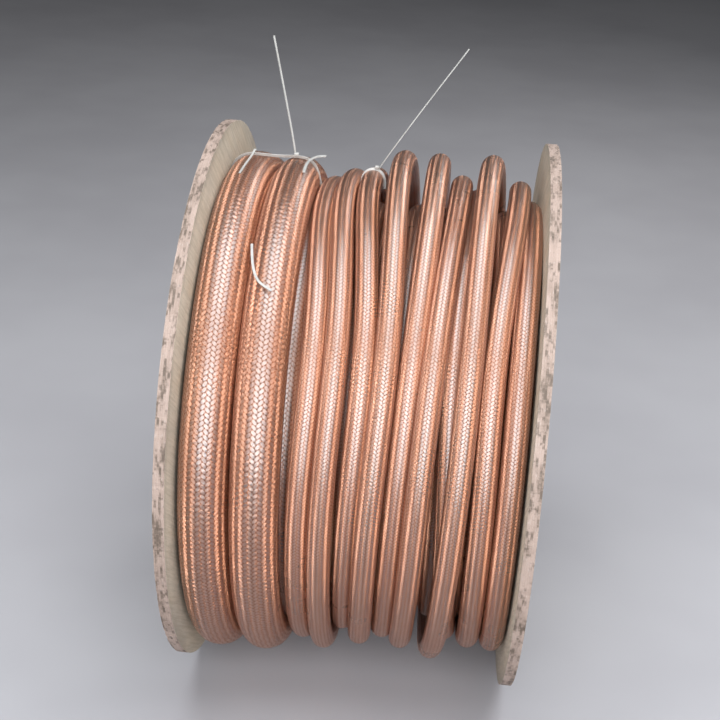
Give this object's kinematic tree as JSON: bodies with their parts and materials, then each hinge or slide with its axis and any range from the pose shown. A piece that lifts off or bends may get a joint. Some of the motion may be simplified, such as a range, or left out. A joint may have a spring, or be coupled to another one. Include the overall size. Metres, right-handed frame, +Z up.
{
  "type": "reel of braided corrugated metal hose",
  "caption": "Copper-coloured braided corrugated metal hose in a large and a small size, wound side by side on a plywood reel with an arbor hole, and tied.",
  "frame": {"origin": "on the floor under the middle of the reel, between the two flanges and below its axis", "axes": "+X along the reel's axis from the large hose to the small hose, +Y away from the picture's camera, +Z up"},
  "size_m": [0.518, 0.7999, 0.9226],
  "materials": {
    "plywood": "raw plywood, scuffed, with dark and pale plies on its rim",
    "board": "plain",
    "steel": "zinc plated",
    "bronze": "bright braided wire",
    "nylon": "natural white nylon"
  },
  "bodies": {
    "root": {"flange_left": "plywood", "flange_right": "plywood", "barrel": "board", "tie_rods": "steel", "large_hose": "bronze", "small_hose": "bronze", "cable_ties": "nylon"}
  },
  "joints": []
}
